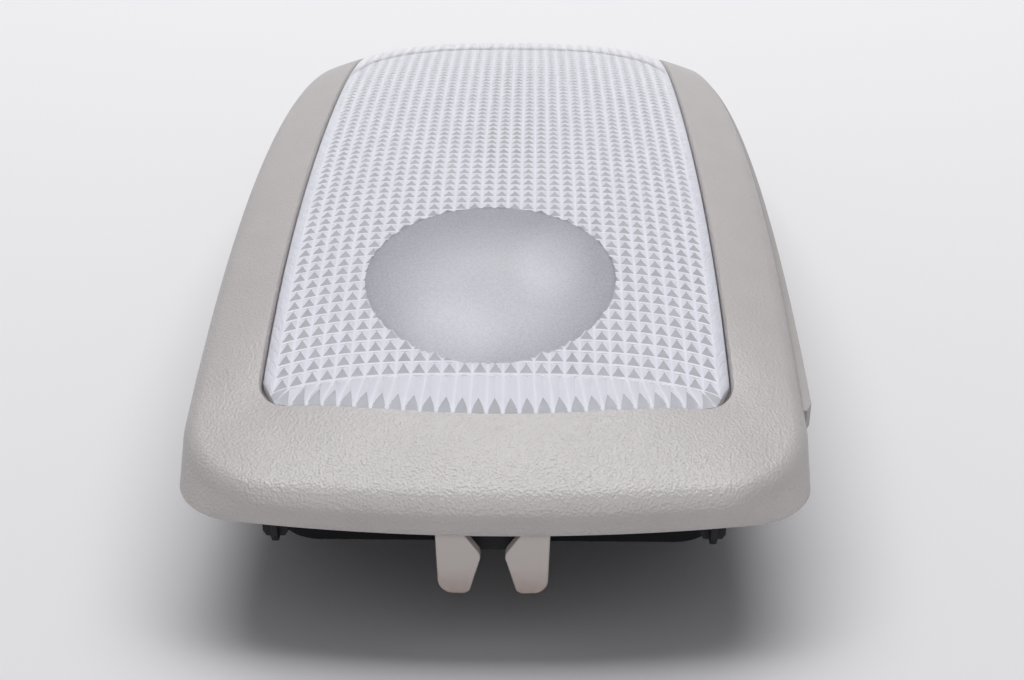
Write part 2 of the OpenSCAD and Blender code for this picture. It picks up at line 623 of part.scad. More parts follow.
module spot_reflector() {
    n = 10;
    function bowl(t) = [bowl_r0 + (bowl_r - bowl_r0) * sqrt(t), bowl_z0 + (bowl_z1 - bowl_z0) * t];
    plate_y0 = -well_y - 3;
    plate_y1 = tray_y0 - 2.1;
    color(bright) difference() {
        union() {
            translate([-plate_x, plate_y0, flange_top])
                cube([2 * plate_x, plate_y1 - plate_y0, tray_rim]);
            translate([disc_x, disc_y, 0]) rotate_extrude() polygon(concat(
                [for (i = [0:n]) bowl(i / n) + [0.9, 0]],
                [for (i = [n:-1:0]) bowl(i / n)]));
        }
        translate([disc_x, disc_y, 0]) rotate_extrude() polygon(concat(
            [[0, bowl_z0 - 1], [bowl_r0, bowl_z0 - 1]],
            [for (i = [0:n]) bowl(i / n)], [[0, bowl_z1]]));
        rim_notch(spot_y, finger_w);
    }
}

// ---- festoon bulb with its two spring clips
bulb_half = festoon_length / 2;
glass_r = festoon_size / 2;
neck_r = glass_r - 1.2;
cap_r = glass_r - 0.7;
module along_y() {
    translate([0, festoon_place, festoon_height]) rotate([-90, 0, 0]) children();
}
module festoon_glass() {
    b = bulb_half - 7.4;
    color(glass) along_y() rotate_extrude() polygon([
        [glass_r, -b], [glass_r, b], [neck_r, b + 1.4], [neck_r, b + 4], [neck_r - 0.6, b + 4],
        [neck_r - 0.6, b + 1.2], [glass_r - 0.6, b - 0.2], [glass_r - 0.6, 0.2 - b],
        [neck_r - 0.6, -b - 1.2], [neck_r - 0.6, -b - 4], [neck_r, -b - 4], [neck_r, -b - 1.4]]);
}
module festoon_caps() {
    color(steel) along_y() for (e = [0, 1]) mirror([0, 0, e]) rotate_extrude() polygon([
        [neck_r + 0.1, bulb_half - 5.8], [cap_r, bulb_half - 5.8], [cap_r, bulb_half - 2.6],
        [1, bulb_half], [0, bulb_half], [0, bulb_half - 3.2], [neck_r + 0.1, bulb_half - 3.2]]);
}
module festoon_filament() {
    color(steel) along_y() {
        translate([0, 0, 3.2 - bulb_half]) cylinder(r = 0.22, h = festoon_length - 6.4);
        translate([0, 0, -7]) cylinder(r = 0.55, h = 14);
    }
}
clip_hole = 2;
clip_over = 4.6;
module festoon_clip(end, x0, x1) {
    y = festoon_place + end * (bulb_half - 0.1);
    clip_h = festoon_height + clip_over - shell - strip;
    foot = 6;
    color(brass) {
        difference() {
            translate([-4, end > 0 ? y - 0.5 : y, shell + strip]) cube([8, 0.5, clip_h]);
            translate([0, y - 2, festoon_height]) rotate([-90, 0, 0]) cylinder(r = clip_hole, h = 4);
        }
        translate([x0, end > 0 ? y - 0.5 : y - foot + 0.5, shell + strip]) cube([x1 - x0, foot, 0.5]);
    }
}
module festoon_clip_supply() {
    festoon_clip(1, -9, 4);
}
module festoon_clip_return() {
    festoon_clip(-1, -3.5, 4);
}

// ---- wedge bulb under the frosted disc
module wedge_bulb_glass() {
    r = wedge_size / 2;
    z0 = 12.6;
    z1 = wedge_top - r;
    color(glass) translate([disc_x, disc_y, 0]) {
        difference() {
            union() {
                translate([0, 0, z0]) cylinder(r = r, h = z1 - z0);
                translate([0, 0, z1]) sphere(r = r);
            }
            translate([0, 0, z0 + 2]) cylinder(r = r - 0.6, h = z1 - z0 - 2);
            translate([0, 0, z1]) sphere(r = r - 0.6);
        }
        translate([-4.8, -1.2, 5]) cube([9.6, 2.4, z0 - 4]);
    }
}
module wedge_bulb_filament() {
    z0 = 14.6;
    z1 = wedge_top - wedge_size / 2 - 1;
    color(steel) translate([disc_x, disc_y, 0]) {
        for (s = [-1, 1]) translate([s * 2.4, 0, z0]) cylinder(r = 0.2, h = z1 - z0);
        translate([-2.6, 0, z1]) rotate([0, 90, 0]) cylinder(r = 0.45, h = 5.2);
    }
}
module wedge_bulb_holder() {
    color(dark) translate([disc_x, disc_y, 0]) difference() {
        translate([0, 0, shell]) cylinder(r = holder_r, h = 10);
        translate([-4.9, -1.3, 4.8]) cube([9.8, 2.6, 10]);
    }
}

// ---- brass strips on the floor of the well
floor_z = shell;
riser_x = well_x - shell - strip;
over_z = flange_top + 1.5;
pad_gap = 0.08;
pad_x = blade_x - (contact_y + contact_w / 2) * sin(bar_swing) - pad_gap;
module floor_strip(x0, x1, y0, y1) {
    translate([x0, y0, floor_z]) cube([x1 - x0, y1 - y0, strip]);
}
module terminal(x) {
    y = well_y - shell - 2.6;
    floor_strip(x - 1.4, x + 1.4, y - 2, y + strip);
    translate([x - 1.4, y, floor_z]) cube([2.8, strip, blade_z - floor_z + 0.4]);
    translate([x - 1.4, y, blade_z - 0.4]) cube([2.8, shell + 2.6 + conn_l - 3, 0.8]);
}
module riser(y0, w, top, x1) {
    translate([riser_x, y0, floor_z]) cube([strip, w, top - floor_z + strip]);
    translate([riser_x, y0, top]) cube([x1 - riser_x, w, strip]);
}
module pad(y0, w, z0) {
    translate([pad_x - strip, y0, z0]) cube([strip, w, contact_z + 3.2 - z0]);
}
module busbar_supply() {
    color(brass) union() {
        terminal(-terminal_x);
        floor_strip(-5 - strip_width, -5, disc_y + 6, well_y - shell - 2.6);
    }
}
rail_x = well_x + 0.3;
rail_w = 1.6;
module busbar_ground() {
    far = contact_y + finger_step;
    color(brass) union() {
        terminal(terminal_x);
        floor_strip(5, 5 + strip_width, ground_y, well_y - shell - 2.6);
        floor_strip(5, riser_x + strip, ground_y, ground_y + strip_width);
        riser(ground_y, strip_width, flange_top, rail_x + rail_w);
        translate([rail_x, -far - finger_w / 2, flange_top])
            cube([rail_w, far + finger_w / 2 + ground_y + strip_width, strip]);
        for (s = [-1, 1]) {
            translate([rail_x, s * far - finger_w / 2, flange_top])
                cube([pad_x - rail_x, finger_w, strip]);
            pad(s * far - finger_w / 2, finger_w, flange_top);
        }
    }
}
module strip_main_return() {
    near = festoon_place - bulb_half - 6;
    color(brass) union() {
        floor_strip(-3.5, 9 + strip_width, near, near + strip_width);
        floor_strip(9, 9 + strip_width, near, main_y + finger_w);
        floor_strip(9, riser_x + strip, main_y, main_y + finger_w);
        riser(main_y, finger_w, over_z, pad_x);
        pad(main_y, finger_w, over_z);
    }
}
module strip_spot_return() {
    color(brass) union() {
        floor_strip(4, 4 + strip_width, disc_y + holder_r, spot_y + finger_w);
        floor_strip(4, riser_x + strip, spot_y, spot_y + finger_w);
        riser(spot_y, finger_w, over_z, pad_x);
        pad(spot_y, finger_w, over_z);
    }
}

bezel();
lens();
back_housing();
main_reflector();
spot_reflector();
festoon_glass();
festoon_caps();
festoon_filament();
festoon_clip_supply();
festoon_clip_return();
wedge_bulb_glass();
wedge_bulb_filament();
wedge_bulb_holder();
busbar_supply();
busbar_ground();
strip_main_return();
strip_spot_return();
switch_bar();
bar_contacts();
pivot_washer();
detent_spring();
housing_screws();
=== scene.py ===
# %% [markdown]
# # A car dome light, lens up
# The lamp is a grey bezel round a long crowned lens. The lens is clear, with
# rows of small square recesses in its inner face and one frosted disc.
# Under it lie a white tray, a bright bowl, two bulbs and brass strips.
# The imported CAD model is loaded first. Every piece made here goes where that
# model says, so nothing has to be fitted by eye.

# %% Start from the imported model
import bpy
import math
from mathutils import Matrix, Vector


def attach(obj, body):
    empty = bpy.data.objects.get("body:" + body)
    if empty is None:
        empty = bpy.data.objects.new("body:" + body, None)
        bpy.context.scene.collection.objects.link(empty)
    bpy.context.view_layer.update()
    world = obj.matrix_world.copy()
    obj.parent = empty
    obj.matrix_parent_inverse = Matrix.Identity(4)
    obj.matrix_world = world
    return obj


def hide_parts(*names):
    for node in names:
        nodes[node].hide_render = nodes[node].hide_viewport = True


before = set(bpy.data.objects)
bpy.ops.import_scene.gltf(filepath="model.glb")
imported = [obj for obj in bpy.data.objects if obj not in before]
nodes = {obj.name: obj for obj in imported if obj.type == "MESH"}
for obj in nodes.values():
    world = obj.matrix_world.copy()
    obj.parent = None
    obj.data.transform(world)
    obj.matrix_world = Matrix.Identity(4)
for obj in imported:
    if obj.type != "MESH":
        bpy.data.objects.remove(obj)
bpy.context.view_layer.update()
print("CAD nodes:", len(nodes))

# %% [markdown]
# ## Camera
# The photograph was taken from in front of the near end, about 27 degrees
# above the table, with a short telephoto lens. The camera is placed by its
# position and three direction vectors, which is easier to check than angles.
# It points a little to the left of the lamp's long axis.

# %% Camera
FOCAL_PX = 1500  # focal length in pixels of the photograph
WIDTH_PX = 1024
ASIDE_PX = 25.1  # the long axis vanishes this far right of the middle
SENSOR = 36
TILT = math.radians(26.93)
TURN = math.atan(ASIDE_PX / FOCAL_PX * math.cos(TILT))
right = Vector((math.cos(TURN), math.sin(TURN), 0))
ahead = Vector((-math.sin(TURN) * math.cos(TILT), math.cos(TURN) * math.cos(TILT), -math.sin(TILT)))
above = right.cross(ahead)
camera = bpy.data.objects.new("camera", bpy.data.cameras.new("camera"))
camera.data.sensor_width = SENSOR
camera.data.lens = SENSOR * FOCAL_PX / WIDTH_PX
camera.data.clip_start = 0.01
place = Matrix((right, above, -ahead)).transposed().to_4x4()
place.translation = Vector((0.0059, -0.309, 0.1508))
camera.matrix_world = place
bpy.context.scene.collection.objects.link(camera)
bpy.context.scene.camera = camera
print("camera lens, mm:", round(camera.data.lens, 2))

# %% [markdown]
# ## Shader helpers
# Each finish is a small tree of shader nodes. One helper adds a node with its
# settings, one joins sockets, and one starts a material. The patterns are all
# computed, because a painted picture would stretch over curved faces.

# %% Shader helpers
def node(tree, kind, inputs=None, **settings):
    made = tree.nodes.new(kind)
    for key, value in settings.items():
        setattr(made, key, value)
    for key, value in (inputs or {}).items():
        made.inputs[key].default_value = value
    return made


def wire(tree, *pairs):
    for out, into in pairs:
        tree.links.new(out, into)


def new_material(name, colour, rough, metal=0.0):
    material = bpy.data.materials.new(name)
    material.use_nodes = True
    shader = material.node_tree.nodes["Principled BSDF"]
    shader.inputs["Base Color"].default_value = (*colour, 1)
    shader.inputs["Roughness"].default_value = rough
    shader.inputs["Metallic"].default_value = metal
    print("material:", name)
    return material, material.node_tree, shader


# %% [markdown]
# ## Floor
# The table is one large pale square. A plain floor gets darker with distance,
# as the lamps reach less of it. So from about half a metre away it fades into
# a plain pale backdrop, as a studio's curved paper would, and only the camera
# sees that backdrop.

# %% Floor
FADE_START = 0.45
FADE_END = 1.1
floor_mesh = bpy.data.meshes.new("floor")
floor_mesh.from_pydata([(-4, -3, 0), (4, -3, 0), (4, 5, 0), (-4, 5, 0)], [], [(0, 1, 2, 3)])
floor = bpy.data.objects.new("floor", floor_mesh)
bpy.context.scene.collection.objects.link(floor)
floor_material, floor_tree, floor_shader = new_material("pale_table", (0.86, 0.85, 0.87), 0.6)
floor_spot = node(floor_tree, "ShaderNodeTexCoord")
floor_far = node(floor_tree, "ShaderNodeVectorMath", operation="LENGTH")
floor_fade = node(floor_tree, "ShaderNodeMapRange", {"From Min": FADE_START, "From Max": FADE_END})
floor_path = node(floor_tree, "ShaderNodeLightPath")
floor_seen = node(floor_tree, "ShaderNodeMath", operation="MULTIPLY")
backdrop = node(floor_tree, "ShaderNodeEmission", {"Color": (0.80, 0.80, 0.82, 1)})
floor_mix = node(floor_tree, "ShaderNodeMixShader")
wire(floor_tree,
     (floor_spot.outputs["Object"], floor_far.inputs[0]),
     (floor_far.outputs["Value"], floor_fade.inputs["Value"]),
     (floor_fade.outputs[0], floor_seen.inputs[0]),
     (floor_path.outputs["Is Camera Ray"], floor_seen.inputs[1]),
     (floor_seen.outputs[0], floor_mix.inputs[0]),
     (floor_shader.outputs[0], floor_mix.inputs[1]),
     (backdrop.outputs[0], floor_mix.inputs[2]),
     (floor_mix.outputs[0], floor_tree.nodes["Material Output"].inputs["Surface"]))
floor_mesh.materials.append(floor_material)
print("floor fades from", FADE_START, "to", FADE_END, "m")

# %% [markdown]
# ## The room
# An even sky stands for the walls of the room. Three levels of it are mixed:
# a dim one lights the matt faces, one is what the camera and shiny faces see,
# and a brighter one is what shows through the lens. The matt parts of the
# lens pass on less light than the real plastic, and the brighter level makes
# up for that.

# %% The room
world = bpy.data.worlds.new("studio")
world.use_nodes = True
sky = world.node_tree
fill = sky.nodes["Background"]
fill.inputs["Color"].default_value = (0.97, 0.98, 1.0, 1)
fill.inputs["Strength"].default_value = 0.21
seen = node(sky, "ShaderNodeBackground", {"Color": (0.85, 0.85, 0.88, 1)})
through = node(sky, "ShaderNodeBackground", {"Color": (1.0, 1.0, 1.03, 1), "Strength": 1.6})
ray = node(sky, "ShaderNodeLightPath")
mirrored = node(sky, "ShaderNodeMath", operation="MAXIMUM")
first = node(sky, "ShaderNodeMixShader")
second = node(sky, "ShaderNodeMixShader")
wire(sky,
     (ray.outputs["Is Camera Ray"], mirrored.inputs[0]),
     (ray.outputs["Is Glossy Ray"], mirrored.inputs[1]),
     (mirrored.outputs[0], first.inputs[0]),
     (fill.outputs[0], first.inputs[1]),
     (seen.outputs[0], first.inputs[2]),
     (ray.outputs["Is Transmission Ray"], second.inputs[0]),
     (first.outputs[0], second.inputs[1]),
     (through.outputs[0], second.inputs[2]),
     (second.outputs[0], sky.nodes["World Output"].inputs["Surface"]))
bpy.context.scene.world = world
bpy.context.scene.view_settings.view_transform = "Standard"
print("sky nodes:", len(sky.nodes))

# %% [markdown]
# ## Lamps
# One broad lamp hangs above and a little behind the object, so its soft
# shadow falls towards us. A second one, straight above, only adds a sheen,
# and a third lights the front wall. These two are tied to the grey parts
# later, so that the shadow stays deep. A small lamp would be simpler, but its
# shadow would have a hard edge.

# %% Lamps
def panel(name, size, spot, aim, power, colour=(1, 1, 1)):
    light = bpy.data.lights.new(name, "AREA")
    light.shape = "RECTANGLE"
    light.size, light.size_y = size
    light.energy = power
    light.color = colour
    lamp = bpy.data.objects.new(name, light)
    lamp.visible_transmission = False
    lamp.location = spot
    lamp.rotation_euler = (Vector(aim) - Vector(spot)).to_track_quat("-Z", "Y").to_euler()
    bpy.context.scene.collection.objects.link(lamp)
    print("lamp:", name, power, "W")
    return lamp


key = panel("overhead", size=(1.6, 0.8), spot=(0.0, 0.52, 1.3), aim=(0.0, 0.0, 0.0), power=18.6)
key.visible_glossy = False
sheen = panel("sheen", size=(1.6, 0.7), spot=(0.0, 0.0, 1.4), aim=(0.0, 0.0, 0.0), power=20.0,
              colour=(0.95, 0.96, 1.0))
sheen.visible_diffuse = False
front = panel("front_fill", size=(1.4, 0.5), spot=(0.0, -1.2, 0.75), aim=(0.0, -0.1, 0.02), power=7.8)

# %% [markdown]
# ## Mesh helper
# Most pieces are built from lists of points and faces, because their forms
# follow formulas. Sizes are written in millimetres, as on a drawing, and
# turned into metres once, here. Faces are shaded smooth, and edges sharper
# than the given angle stay crisp.

# %% Mesh helper
MM = 0.001


def mesh_object(name, points, faces, crisp=35):
    mesh = bpy.data.meshes.new(name)
    mesh.from_pydata([(x * MM, y * MM, z * MM) for x, y, z in points], [], faces)
    mesh.validate()
    mesh.shade_smooth()
    mesh.set_sharp_from_angle(angle=math.radians(crisp))
    obj = bpy.data.objects.new(name, mesh)
    bpy.context.scene.collection.objects.link(obj)
    print(name, "faces:", len(mesh.polygons))
    return obj


print("one unit of a drawing is", MM, "m")

# %% [markdown]
# ## The crown
# Lens and bezel share one crowned surface. It falls slowly at first and
# faster near the ends, so a square and a fourth power are added along the
# lamp, and the same across it. A plain arc would fall too fast at first and
# too slowly near the ends.

# %% The crown
SEAT = 20.0  # height of the face that meets the roof lining
RISE = 29.1  # the lens's top above that face
LENS_X = 38.5  # half width of the lens
LENS_Y = 102.2  # half length on the middle line
BOW = 5.5  # how far the ends bow outward
LENS_B = LENS_Y - BOW
THICK = 2.2
END_SQUARE, END_FOURTH = 8.137, 7.663
SIDE_SQUARE, SIDE_FOURTH, CORNER_FALL = 1.204, 1.596, 2.2


def crown(x, y):
    """Height of the crowned surface."""
    t, u = (y / LENS_Y) ** 2, (x / LENS_X) ** 2
    middle = SEAT + RISE - END_SQUARE * t - END_FOURTH * t * t
    return middle - SIDE_SQUARE * u - (SIDE_FOURTH + CORNER_FALL * t) * u * u


def crown_slope(x, y):
    """How steeply the crown falls across and along the lamp."""
    t, u = (y / LENS_Y) ** 2, (x / LENS_X) ** 2
    across = (2 * SIDE_SQUARE + 4 * (SIDE_FOURTH + CORNER_FALL * t) * u) * x / LENS_X ** 2
    along = (2 * END_SQUARE + 4 * END_FOURTH * t) * y / LENS_Y ** 2
    return across, along


print("crown top, mm:", crown(0, 0))

# %% [markdown]
# ## The lens
# The inner face of the lens is covered with square recesses, each a small
# four-sided pyramid. They could be painted on as a pattern, but then they
# would not change with the view. Real recesses under a smooth top bend the
# light as the moulding does: through the near facet we look into the lamp,
# so it shows as a grey triangle with its tip up. The facets to its left and
# right and the narrow lands between the recesses are matt and nearly opaque,
# so every triangle has a white surround.

# %% The lens grid
PITCH = 2.5
COLS, ROWS = 29, 77
PIT = 1.2  # depth of a recess
LAND = 0.2  # width of the flat rim round a recess
SLOPE = 1.25  # longest outer facet of an end recess
EDGE = 1.65  # widest clear strip between the end recesses and the edge
CORNER = 5  # radius of the lens's corners
FIELD_X, FIELD_Y = COLS * PITCH / 2, ROWS * PITCH / 2
DISC_X, DISC_Y = -1.4, -70.0
DISC_R = 21.8


def disc_distance(p):
    return math.hypot(p[0] - DISC_X, p[1] - DISC_Y)


def grid_node(i, j):
    return i * PITCH - FIELD_X, j * PITCH - FIELD_Y


def end_curve(x):
    """Distance of the bowed end from the middle of the lens, with its rounded corner."""
    e = max(0, abs(x) - (LENS_X - CORNER))
    return LENS_B + BOW * (1 - (x / LENS_X) ** 2) - CORNER + math.sqrt(CORNER ** 2 - e * e)


def rim_point(i, j, inset=0.0):
    """The place on the lens's outline that belongs to a node on the grid's border."""
    if j in (0, ROWS):
        x = (i * PITCH - FIELD_X) * LENS_X / FIELD_X
        y = math.copysign(end_curve(x), j - 1)
    else:
        x = math.copysign(LENS_X, i - 1)
        y = (j * PITCH - FIELD_Y) * (LENS_B - CORNER) / FIELD_Y
    return x * (1 - inset / LENS_X), y * (1 - inset / LENS_Y)


print("cells in the grid:", COLS * ROWS)

# %% [markdown]
# The plate is one closed mesh: recesses below, a fine smooth skin above and
# a rounded rim between them, built as rings that step down and out. The
# points come first. Each node of the grid has one on the skin and one on the
# inner face, and on the border these are points of the rim.

# %% Points of the lens
RIM_STEPS = ((0.8, 0.0), (0.45, 0.1), (0.15, 0.35), (0.0, 0.8), (0.0, THICK))  # inset and drop
lens_points, lens_faces = [], []
pale_faces = []  # numbers of the faces that get the matt finish


def put(x, y, z):
    lens_points.append((x, y, z))
    return len(lens_points) - 1


under, skin, lines = {}, {}, {}
ring = ([(i, 0) for i in range(COLS)] + [(COLS, j) for j in range(ROWS)]
        + [(i, ROWS) for i in range(COLS, 0, -1)] + [(0, j) for j in range(ROWS, 0, -1)])
rim = []
for inset, drop in RIM_STEPS:
    rim.append([])
    for i, j in ring:
        x, y = rim_point(i, j, inset)
        rim[-1].append(put(x, y, crown(x, y) - drop))
for k, (i, j) in enumerate(ring):
    skin[i, j] = rim[0][k]
    under[i, j] = rim[-1][k]
for i in range(COLS + 1):
    for j in range(1, ROWS):
        x, y = grid_node(i, j)
        under[i, j] = put(x, y, crown(x, y) - THICK)
        if 0 < i < COLS:
            skin[i, j] = put(x, y, crown(x, y))
print("points on the rim and the grid:", len(lens_points))

# %% [markdown]
# A recess has a flat land on each side and four facets that meet at its tip.
# The last row at each end is stretched to the bowed edge. Its recesses are
# long, so their tip becomes a short ridge. They stop short of the edge, and
# the white flanks between them show as pointed teeth along the near edge, as
# in the photograph.

# %% Lands and facets
def lands(corners, j):
    """Lands round one recess of row j, and the four corners of the recess itself."""
    low, high = (sum(lens_points[n][1] for n in pair) / 2 for pair in (corners[:2], corners[2:]))
    strip = max(LAND, min(EDGE, 0.35 * (high - low)))
    near = strip if j == 0 else LAND
    far = strip if j == ROWS - 1 else LAND
    inner = []
    for n, dx, dy in zip(corners, (LAND, -LAND, -LAND, LAND), (near, near, -far, -far)):
        x, y, _ = lens_points[n]
        inner.append(put(x + dx, y + dy, crown(x + dx, y + dy) - THICK))
    for m, width in enumerate((near, LAND, far, LAND)):
        n = (m + 1) % 4
        if width == LAND:
            pale_faces.append(len(lens_faces))
        lens_faces.append([corners[n], corners[m], inner[m], inner[n]])
    return inner


def recess(a, b, c, d, low=0.5):
    """Four facets over a b c d, with the tip at the share low of the length."""
    near = sum(lens_points[n][1] for n in (a, b)) / 2
    far = sum(lens_points[n][1] for n in (c, d)) / 2
    x = sum(lens_points[n][0] for n in (a, b, c, d)) / 4
    span = far - near
    p_in = min(SLOPE if low > 0.5 else PITCH / 2, low * span)
    q_in = min(SLOPE if low < 0.5 else PITCH / 2, (1 - low) * span)
    deep = 0.1 if span < 1 else PIT * min(1, min(p_in, q_in) * 2 / (PITCH - 2 * LAND))
    p = q = put(x, near + p_in, crown(x, near + p_in) - THICK + deep)
    if span - p_in - q_in > 0.01:
        q = put(x, far - q_in, crown(x, far - q_in) - THICK + deep)
    pale_faces.extend((len(lens_faces) + 2, len(lens_faces) + 3))
    sides = [[a, d, q, p], [c, b, p, q]] if p != q else [[a, d, p], [c, b, p]]
    return [[b, a, p], [d, c, q]] + sides


print("a recess is", PIT, "mm deep and", PITCH - 2 * LAND, "mm wide")

# %% [markdown]
# Now the grid is walked cell by cell. A cell gets its patch of skin above
# and its recess below. Cells that lie wholly in the disc stay flat, and so do
# the four corner cells, where the rounded outline would twist a recess.

# %% Skin and recesses
LONG_STEPS = 5  # patches along the skin of an end cell
END_LOW = 0.64  # share of an end recess that its outer part may take


def skin_line(i, j):
    """Skin points from node i, j to node i, j + 1, with more of them in the end rows."""
    if (i, j) not in lines:
        ends = skin[i, j], skin[i, j + 1]
        steps = LONG_STEPS if j in (0, ROWS - 1) and 0 < i < COLS else 1
        (x0, y0, _), (x1, y1, _) = (lens_points[n] for n in ends)
        between = [(x0 + (x1 - x0) * m / steps, y0 + (y1 - y0) * m / steps) for m in range(1, steps)]
        lines[i, j] = [ends[0]] + [put(x, y, crown(x, y)) for x, y in between] + [ends[1]]
    return lines[i, j]


for i in range(COLS):
    for j in range(ROWS):
        corners = [(i, j), (i + 1, j), (i + 1, j + 1), (i, j + 1)]
        left, right_line = skin_line(i, j), skin_line(i + 1, j)
        if len(left) == len(right_line):
            for m in range(len(left) - 1):
                lens_faces.append([left[m], right_line[m], right_line[m + 1], left[m + 1]])
        else:
            lens_faces.append([left[0]] + right_line + left[:0:-1])
        a, b, c, d = (under[n] for n in corners)
        inside_disc = max(disc_distance(grid_node(*n)) for n in corners) < DISC_R - 0.05
        if inside_disc or (i in (0, COLS - 1) and j in (0, ROWS - 1)):
            lens_faces.append([d, c, b, a])
        else:
            low = {0: END_LOW, ROWS - 1: 1 - END_LOW}.get(j, 0.5)
            lens_faces += recess(*lands((a, b, c, d), j), low)
print("faces of skin and inner face:", len(lens_faces))

# %% [markdown]
# The rim closes the plate, and the wall under it is matt like the lands.
# Along the two long sides a narrow strip is left between the grid and the
# wall, and it gets a row of narrow recesses too.

# %% Rim and lens object
count = len(ring)
for k in range(count):
    n = (k + 1) % count
    for upper, lower in zip(rim[:-1], rim[1:]):
        lens_faces.append([upper[k], lower[k], lower[n], upper[n]])
    pale_faces.append(len(lens_faces) - 1)
    if ring[k][1] != ring[n][1]:
        loop = list(dict.fromkeys([rim[-1][k], under[ring[k]], under[ring[n]], rim[-1][n]]))
        x, y = (sum(lens_points[m][t] for m in loop) / len(loop) for t in (0, 1))
        tip = put(x, y, crown(x, y) - THICK + (0.9 * PIT if len(loop) == 4 else 0))
        pale_faces += range(len(lens_faces), len(lens_faces) + len(loop))
        lens_faces += [[loop[m - 1], loop[m], tip] for m in range(len(loop))]
lens = mesh_object("lens_plate", lens_points, lens_faces, crisp=20)
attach(lens, "lamp")
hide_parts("lens")

# %% [markdown]
# ## The frosted disc
# The disc is let into the recesses. A round plug with a domed, matt underside
# is joined to the plate, and fills whatever crosses its circle, as the
# moulding does. Trimming each recess along the circle would give the same
# edge, but with many more special cases.

# %% The disc as a plug
def round_block(name, upper, lower, steps=144, rings=14):
    """A closed round block between two surfaces, built of rings round the disc's axis."""
    pts = [(DISC_X, DISC_Y, upper(DISC_X, DISC_Y, 0)), (DISC_X, DISC_Y, lower(DISC_X, DISC_Y, 0))]
    faces = []
    for f in range(1, rings + 1):
        for k in range(steps):
            r, t = DISC_R * f / rings, 2 * math.pi * k / steps
            x, y = DISC_X + r * math.cos(t), DISC_Y + r * math.sin(t)
            pts += [(x, y, upper(x, y, r)), (x, y, lower(x, y, r))]

    def at(f, k, low):
        return low if f == 0 else 2 + 2 * ((f - 1) * steps + k % steps) + low

    for k in range(steps):
        faces.append([at(0, 0, 0), at(1, k, 0), at(1, k + 1, 0)])
        faces.append([at(0, 0, 1), at(1, k + 1, 1), at(1, k, 1)])
        for f in range(1, rings):
            faces.append([at(f, k, 0), at(f + 1, k, 0), at(f + 1, k + 1, 0), at(f, k + 1, 0)])
            faces.append([at(f, k, 1), at(f, k + 1, 1), at(f + 1, k + 1, 1), at(f + 1, k, 1)])
        faces.append([at(rings, k, 0), at(rings, k, 1), at(rings, k + 1, 1), at(rings, k + 1, 0)])
    return mesh_object(name, pts, faces, crisp=25)


PLUG_TOP = 0.7  # how far the plug's top lies under the skin
DOME = 1.85  # bulge of the domed underside
DOME_EDGE = 0.15  # step from the inner face to the dome's edge
plug = round_block("disc_plug", lambda x, y, r: crown(x, y) - PLUG_TOP,
                   lambda x, y, r: crown(x, y) - THICK - DOME_EDGE - DOME * (1 - (r / DISC_R) ** 2))

# %% [markdown]
# Every face gets its material number before the two are joined, because the
# join keeps these numbers but not the order of the faces. The real materials
# take the four places later.

# %% Join the disc
CLEAR, FROST, FACETS, LANDS = range(4)


def combine(obj, other, operation, crisp):
    """Join other to obj, or cut it out of obj, and keep only the result."""
    mod = obj.modifiers.new("combine", "BOOLEAN")
    mod.operation = operation
    mod.solver = "EXACT"
    mod.object = other
    bpy.context.view_layer.update()
    made = bpy.data.meshes.new_from_object(obj.evaluated_get(bpy.context.evaluated_depsgraph_get()))
    obj.modifiers.clear()
    obj.data = made
    made.shade_smooth()
    made.set_sharp_from_angle(angle=math.radians(crisp))
    bpy.data.objects.remove(other)
    print(obj.name, operation.lower(), "faces:", len(made.polygons))


for face in plug.data.polygons:
    face.material_index = FROST
for slot_name in ("clear", "frost", "facets", "lands"):
    lens.data.materials.append(bpy.data.materials.new(slot_name))
    plug.data.materials.append(lens.data.materials[-1])
for face in lens.data.polygons:
    face.material_index = FACETS if face.normal.z < -0.2 else CLEAR
for index in pale_faces:
    lens.data.polygons[index].material_index = LANDS
combine(lens, plug, "UNION", 20)

# %% [markdown]
# ## The bezel
# The bezel is one thin moulding. Its section changes all the way round: high
# and steep beside the lens, low and flat at the ends. It could be boxes with
# bevels, but a lofted section follows the real form. Three plan outlines are
# walked station by station: the opening, the ridge where the top rolls over
# into the wall, and the seat.

# %% Plan outlines
RIDGE_HALF = 107.3  # where the ridge reaches the height of the end walls
END_WALL = 5.7  # height of the end walls
SIDE_STEP = 4.5  # how far the ridge lies under the lens's long edge


def ridge_height(y):
    v = 1 - (y / RIDGE_HALF) ** 2
    low = SEAT + END_WALL
    return low + (crown(LENS_X, 0) - SIDE_STEP - low) * (v + math.sqrt(v * v + 0.01)) / 2


def quarter(a, b, r, side=30, arc=12, end=16):
    """A quarter of a rectangle with a rounded corner, from the side to the end."""
    path = [(a, (b - r) * i / side) for i in range(side)]
    path += [(a - r + r * math.cos(math.pi / 2 * i / arc), b - r + r * math.sin(math.pi / 2 * i / arc))
             for i in range(arc)]
    return path + [((a - r) * (1 - i / end), b) for i in range(end + 1)]


def outline(a, b, r, bulge):
    """The whole outline, with its long sides bulged and its ends bowed."""
    q = [(x + bulge * (1 - (y / b) ** 2) * x / a, y + BOW * (1 - (x / a) ** 2) * y / b)
         for x, y in quarter(a, b, r)]
    m = len(q) - 1
    return (q[:m] + [(-x, y) for x, y in q[m:0:-1]] + [(-x, -y) for x, y in q[:m]]
            + [(x, -y) for x, y in q[m:0:-1]])


GAP = 0.25  # between lens and bezel
# half width, half length, corner radius and bulge of the sides
opening_path = outline(LENS_X + GAP, LENS_B + GAP, CORNER + GAP, 0)
ridge_path = outline(49.9, 112.1, 15, 1.1)
seat_path = outline(50.6, 112.8, 9.5, 1.7)
print("stations:", len(seat_path), "ridge middle, mm:", round(ridge_height(0), 2))

